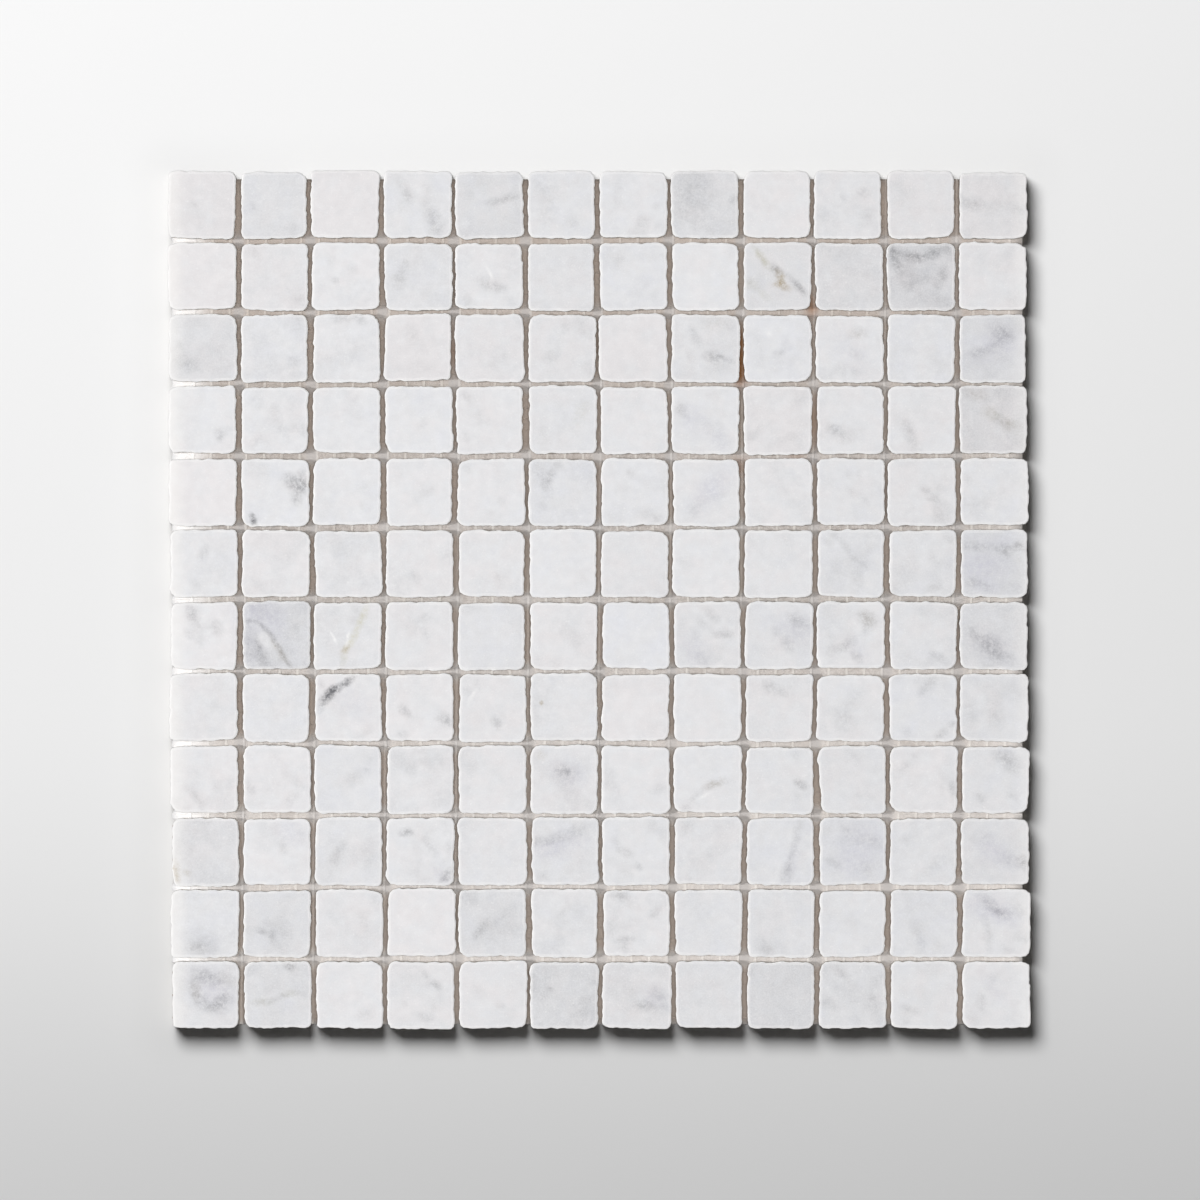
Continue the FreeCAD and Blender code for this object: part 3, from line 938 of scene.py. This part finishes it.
def smudges(finish, where, marks):
    """Strength of the marks of one kind: 0 beside them, and their depths added up on them."""
    total = 0.0
    for from_x, from_y, to_x, to_y, half_width, depth in marks:
        start = Vector(place(from_x, from_y))
        end = Vector(place(to_x, to_y))
        middle = (start + end) / 2
        length = (end - start).length
        reach = half_width * fades_out * pixel
        seen_from = where
        if length > reach * longest_spot:
            along = (end - start) / length
            aside = Vector((-along.y, along.x, 0))
            along *= reach / (reach + length * streak_ends)
            lengths = {"X": finish.length("DOT_PRODUCT", where, along)}
            lengths["Y"] = finish.length("DOT_PRODUCT", where, aside)
            seen_from = finish.add("ShaderNodeCombineXYZ", None, lengths).outputs[0]
            middle = Vector((middle.dot(along), middle.dot(aside), 0))
        total = total + finish.fade(finish.length("DISTANCE", seen_from, middle), reach, 0.0, depth)
    return total


# %% [markdown]
# ## White marble
# Tumbled white marble is matt and softly clouded. Its body colour shifts a little from tile to
# tile, from a warm to a bluish white, and big soft clouds, fine mottling and grains like sugar
# run through it. The worn rim is white, partly from the bruised stone and partly as a painted
# highlight of the light that the arris catches, more in one place than in another. The walls
# turn warmer towards the mesh. The outer tiles at the left and the right get a painted glow, a
# lighter colour that stands in for light shining into the stone from the side.

# %% The finish of a row of tiles
marble_white = paint(231, 231, 233)
cloud_grey = paint(179, 179, 182)
vein_grey = paint(98, 98, 102)
lavender_grey = paint(196, 195, 206)
vein_brown = paint(146, 124, 72)
vein_olive = paint(196, 190, 150)
warm_white = paint(233, 230, 231)
cool_white = paint(228, 229, 234)
# White of bruises, white marks and crystals, and also of the painted highlight on the rim
rim_white = paint(254, 253, 252)
painted_glow_white = paint(254, 251, 247)
wall_warm = paint(232, 223, 212)
rust_brown = paint(152, 100, 44)
rim_foot = shoulder - 1.5 * mm
wall_fade = 4 * mm
in_plan = (1.0, 1.0, 0.0)


def tumbled_marble(row):
    """The stone of one row of tiles, with the marks that are in that row alone."""
    finish = Finish(f"tumbled marble, row {row:02d}")
    in_block = finish.vector("ADD", finish.here, finish.attribute("cut"))
    # The greyness also holds the painted shade that darkens the sheet to the right and down
    greyness, cloudiness, warmth = finish.parts(finish.attribute("stone"))
    across, along, height = finish.parts(finish.here)
    from_left = across + along * math.tan(column_lean) - left_side

    clouds = finish.fade(finish.noise(in_block, 12 * mm, 5.0, 0.6), 0.42, 0.75) * cloudiness
    mottling = finish.noise(in_block, 2.8 * mm, 3.0, 0.65) - 0.5
    sugar = finish.noise(in_block, 0.55 * mm, 2.0, 0.6) - 0.5

    tinge = warmth + (finish.noise(in_block, 8 * mm, 3.0, 0.6) - 0.5) * 3.0
    colour = finish.colour_mix(tinge, marble_white, warm_white)
    colour = finish.colour_mix(-1.0 * tinge, colour, cool_white)
    grains = sugar * (clouds * 0.7 + greyness * 0.8 + 0.1)
    greys = greyness * 0.65 + clouds * 0.55 + mottling * 0.2 + grains
    colour = finish.colour_mix(greys, colour, cloud_grey)

    seen_flat = finish.vector("MULTIPLY", finish.here, in_plan)
    bent = finish.vector("ADD", seen_flat, finish.bend(in_block, 4 * mm, 2 * mm))
    patchy = finish.fade(finish.noise(in_block, 1.6 * mm, 4.0, 0.7), 0.3, 0.7) * 0.85 + 0.34
    for marks, tint in (
        (lavender_marks, lavender_grey),
        (grey_marks, vein_grey),
        (olive_marks, vein_olive),
        (brown_marks, vein_brown),
        (white_marks, rim_white),
    ):
        if row in marks:
            shown = smudges(finish, bent, marks[row])
            colour = finish.colour_mix(shown * (patchy + sugar), colour, tint)

    # Painted glow: the outer tiles are lighter at the left and the right, as if lit through from the
    # side
    painted_glow_left = finish.fade(from_left, 7 * mm, 0.0, 0.45)
    painted_glow_right = finish.fade(from_left, 296 * mm, 303 * mm, 0.25)
    colour = finish.colour_mix(painted_glow_left + painted_glow_right, colour, painted_glow_white)
    # The rim is painted white: partly the bruised stone, partly a painted highlight on the arris
    bruise = Varying(finish, finish.attribute("bruise", "Fac"))
    edge = finish.fade(height + mottling * 0.05 * mm, tile_top - 0.02 * mm, tile_top - 0.12 * mm)
    uneven = finish.fade(finish.noise(in_block, 4 * mm, 3.0, 0.6), 0.3, 0.7) * 0.7 + 0.6
    rim = (bruise * bruise * bruise * 0.3 + edge * 0.7) * uneven
    # Towards the mesh the walls turn warmer
    wall = finish.fade(height, rim_foot, rim_foot - wall_fade)
    colour = finish.colour_mix(rim, colour, rim_white)
    colour = finish.colour_mix(wall * 0.9, colour, wall_warm)
    stains = smudges(finish, bent, rust_marks) * wall
    colour = finish.colour_mix(stains, colour, rust_brown)

    crystals = finish.fade(finish.noise(in_block, 0.8 * mm, 1.0, 0.5), 0.66, 0.76, 0.22)
    colour = finish.colour_mix(crystals, colour, rim_white)

    bumps = finish.noise(in_block, 0.5 * mm, 4.0, 0.65)
    finish.fill(
        finish.surface,
        {
            "Base Color": colour,
            "Roughness": 0.62 + mottling * 0.3 + rim * 0.15,
            "Normal": finish.bump(bumps, 0.05 * mm, 0.35),
        },
    )
    return finish.material


for row, piece in enumerate(tile_rows, start=1):
    piece.data.materials.append(tumbled_marble(row))
print(len(bpy.data.materials), "materials")

# %% [markdown]
# ## Glass fibre and glue
# The fibres are coated, cream and a little shiny, with fine grooves along them. The glue has
# dried to a dull beige with specks in it. Both are coloured in the same way by where they lie:
# browner in the upper rows and paler in the lower ones, with a painted shade of brown between
# the columns and of grey at the crossings, and a painted glow of white where the joints between
# the rows end. Both also carry the rust stains of a few joints.

# %% The finishes of the mesh
fibre_cream = paint(213, 209, 204)
fibre_shadow = paint(190, 184, 178)
glue_beige = paint(203, 197, 193)
glue_dark = paint(172, 165, 160)
# Pale glue, also used as painted light at the right ends of the joints between the rows
glue_white = paint(244, 240, 237)
painted_shade_grey = paint(188, 184, 182)
glue_shade = paint(150, 138, 128)
glue_brown = paint(184, 169, 157)
painted_glow_in_glue = paint(245, 245, 246)


def joint_tones_and_painted_light(finish, colour):
    """The colour as it turns out in each joint, by where in the sheet the joint is, with painted shade
    and painted light.
    """
    across, along, _ = finish.parts(finish.here)
    across = across + along * math.tan(column_lean)
    to_column_joint = finish.maths("PINGPONG", across, tile_pitch / 2)
    to_row_joint = finish.maths("PINGPONG", along, tile_pitch / 2)
    between_columns = finish.fade(to_row_joint, 1.2 * mm, 5 * mm)
    darker = finish.fade(finish.noise(finish.here, 13 * mm, 2.0, 0.5), 0.5, 0.7, 0.35)
    colour = finish.colour_mix(darker, colour, glue_shade)
    crossing = finish.fade(finish.maths("MAXIMUM", to_column_joint, to_row_joint), 3 * mm, 1 * mm)
    upper_rows = finish.fade(along, 10 * mm, 150 * mm, 0.55)
    lower_rows = finish.fade(along, 20 * mm, -80 * mm, 0.35)
    colour = finish.colour_mix(lower_rows, colour, glue_white)
    # Painted shade: the joints between the columns are painted brown; the upper rows turn browner too
    browner = finish.maths("MAXIMUM", between_columns * 0.85, upper_rows)
    colour = finish.colour_mix(browner, colour, glue_brown)
    # Painted shade: the crossings are painted grey
    colour = finish.colour_mix(crossing * 0.8, colour, painted_shade_grey)
    # Painted light: the ends of the joints between the rows are painted white, as if lit from the side
    painted_light_left_end = finish.fade(across - left_side, 18 * mm, 6 * mm, 0.8)
    painted_light_right_end = finish.fade(across + left_side, -24 * mm, -4 * mm, 0.3)
    between_rows = 1.0 - between_columns
    colour = finish.colour_mix(painted_light_right_end * between_rows, colour, glue_white)
    return finish.colour_mix(painted_light_left_end * between_rows, colour, painted_glow_in_glue)


def rusty(finish, colour):
    """The colour with the rust stains over it."""
    bent = finish.vector("ADD", finish.here, finish.bend(finish.here, 3 * mm, 2 * mm))
    stains = smudges(finish, finish.vector("MULTIPLY", bent, in_plan), rust_marks)
    return finish.colour_mix(stains, colour, rust_brown)


def coated_fibre(name, groove_scale):
    """Fibre bundles whose grooves are long in the direction with the small scale."""
    finish = Finish(name)
    grooves = finish.noise(finish.vector("MULTIPLY", finish.here, groove_scale), 0.25 * mm, 3.0, 0.6)
    tone = finish.noise(finish.here, 3 * mm, 3.0, 0.6)
    colour = finish.colour_mix(finish.fade(grooves + tone * 0.5, 0.55, 0.95), fibre_shadow, fibre_cream)
    finish.fill(
        finish.surface,
        {
            "Base Color": rusty(finish, joint_tones_and_painted_light(finish, colour)),
            "Roughness": 0.35 + tone * 0.3,
            "Normal": finish.bump(grooves, 0.05 * mm, 0.6),
        },
    )
    return finish.material


def dried_glue():
    finish = Finish("dried glue")
    lumps = finish.noise(finish.here, 1.2 * mm, 4.0, 0.65)
    specks = finish.noise(finish.here, 0.3 * mm, 2.0, 0.6)
    colour = finish.colour_mix(finish.fade(lumps + specks * 0.5, 0.55, 0.95), glue_dark, glue_beige)
    finish.fill(
        finish.surface,
        {
            "Base Color": rusty(finish, joint_tones_and_painted_light(finish, colour)),
            "Roughness": 0.45 + specks * 0.3,
            "Normal": finish.bump(lumps + specks * 0.4, 0.15 * mm, 0.7),
        },
    )
    return finish.material


flat_bundles.data.materials.append(coated_fibre("coated fibre, lengthwise", (1.0, 0.04, 1.0)))
yarn_pairs.data.materials.append(coated_fibre("coated fibre, crosswise", (0.04, 1.0, 1.0)))
film.data.materials.append(dried_glue())

# %% [markdown]
# ## Stage, light and camera
# The photograph looks straight down, and its sheet and its floor are lit from different sides,
# as in a picture put together from two. So each lamp is linked to what it lights. The stone is
# lit by a softbox high on the left and by one overhead that is long across the sheet. Both look
# along the joints between the rows, so these are lighter than the joints between the columns. A
# faint softbox low on the left brings out the worn rims. The shadow on the floor comes from a
# round reflector at the upper left. The floor is greyer towards the foot of the picture, and
# next to the sheet it gets a painted shade, against the light that the bright stone throws on
# it. For light that bounces from it the floor is dark, or it would light up the walls of the
# tiles from below.

# %% Plain floor
floor_white = paint(242, 242, 242)
floor_grey = paint(215, 215, 215)
floor_shade = paint(0, 0, 0)
floor_in_bounces = paint(80, 80, 80)
floor_size = 6


def plain_floor():
    finish = Finish("plain pale floor")
    across, along, _ = finish.parts(finish.here)
    # Painted shade: the floor greys towards the bottom of the view, where the light falls off
    nearer = finish.fade(along, -30 * mm, -250 * mm)
    colour = finish.colour_mix(nearer, floor_white, floor_grey)
    half_sheet = (columns / 2 * tile_pitch, rows / 2 * tile_pitch, 0)
    beside = finish.vector("SUBTRACT", finish.vector("ABSOLUTE", finish.here), half_sheet)
    beyond = finish.vector("MAXIMUM", beside, (0, 0, 0))
    at_left = finish.fade(across, -90 * mm, -150 * mm, 0.05)
    at_left = at_left * finish.fade(finish.parts(beside)[1], 20 * mm, -15 * mm)
    close = finish.fade(finish.length("LENGTH", beyond), 18 * mm, 0.0) * (at_left + 0.03)
    colour = finish.colour_mix(close, colour, floor_shade)
    colour = finish.colour_mix(finish.is_seen(), floor_in_bounces, colour)
    finish.fill(finish.surface, {"Base Color": colour, "Roughness": 0.9})
    bpy.ops.object.select_all(action="DESELECT")
    bpy.ops.mesh.primitive_plane_add(size=floor_size, location=(0, 0, 0))
    floor = bpy.context.active_object
    floor.name = "floor"
    floor.data.materials.append(finish.material)
    return floor


floor = plain_floor()

# %% Lamps
def lit_group(name, pieces):
    group = bpy.data.collections.new(name)
    for piece in pieces:
        group.objects.link(piece)
    return group


def lamp(name, where, shape, size, power, lit):
    """A lamp that is aimed at the middle of the sheet and lights one group alone."""
    data = bpy.data.lights.new(name, "AREA")
    data.shape = shape
    data.size, data.size_y = size
    data.energy = power
    stand = bpy.data.objects.new(name, data)
    stand.location = where
    stand.rotation_euler = (-Vector(where)).to_track_quat("-Z", "Y").to_euler()
    stand.light_linking.receiver_collection = lit
    bpy.context.scene.collection.objects.link(stand)


sheet_lit = lit_group("lit with the sheet", [*tile_rows, flat_bundles, yarn_pairs, film])
floor_lit = lit_group("lit with the floor", [floor])
lamp("softbox on the left", (-2.75, -0.08, 7.5), "RECTANGLE", (0.5, 0.6), 240, sheet_lit)
lamp("wide softbox low on the left", (-2.0, 0.0, 0.9), "RECTANGLE", (0.8, 0.5), 12, sheet_lit)
lamp("softbox overhead", (0.0, 0.0, 7.0), "RECTANGLE", (1.2, 0.4), 220, sheet_lit)
lamp("round reflector at the upper left", (-0.62, 1.15, 2.06), "DISK", (1.4, 1.4), 66, floor_lit)
print(len(bpy.data.lights), "lamps")

# %% White backdrop and a trace of light from all round
world_light = (0.03, 0.03, 0.03, 1)
world_seen = (1, 1, 1, 1)
world = bpy.data.worlds.new("studio")
world.use_nodes = True
world_nodes = world.node_tree.nodes
world_links = world.node_tree.links
path = world_nodes.new("ShaderNodeLightPath")
seen = path.outputs["Is Camera Ray"]
for name in ("Is Glossy Ray", "Is Transmission Ray"):
    either = world_nodes.new("ShaderNodeMath")
    either.operation = "MAXIMUM"
    world_links.new(seen, either.inputs[0])
    world_links.new(path.outputs[name], either.inputs[1])
    seen = either.outputs[0]
backdrop = world_nodes.new("ShaderNodeMix")
backdrop.data_type = "RGBA"
backdrop.inputs[6].default_value = world_light
backdrop.inputs[7].default_value = world_seen
world_links.new(seen, backdrop.inputs[0])
world_links.new(backdrop.outputs[2], world_nodes["Background"].inputs["Color"])
bpy.context.scene.world = world
bpy.context.scene.view_settings.view_transform = "Standard"

# %% Camera straight above
camera_height = 6.0
sensor_width = 36.0
camera_data = bpy.data.cameras.new("camera")
camera_data.sensor_width = sensor_width
camera_data.lens = sensor_width * (camera_height - tile_top) / (photo_size * pixel)
camera = bpy.data.objects.new("camera", camera_data)
camera.location = (photo_middle_x, photo_middle_y, camera_height)
bpy.context.scene.collection.objects.link(camera)
bpy.context.scene.camera = camera
print("lens", round(camera_data.lens, 1), "mm")
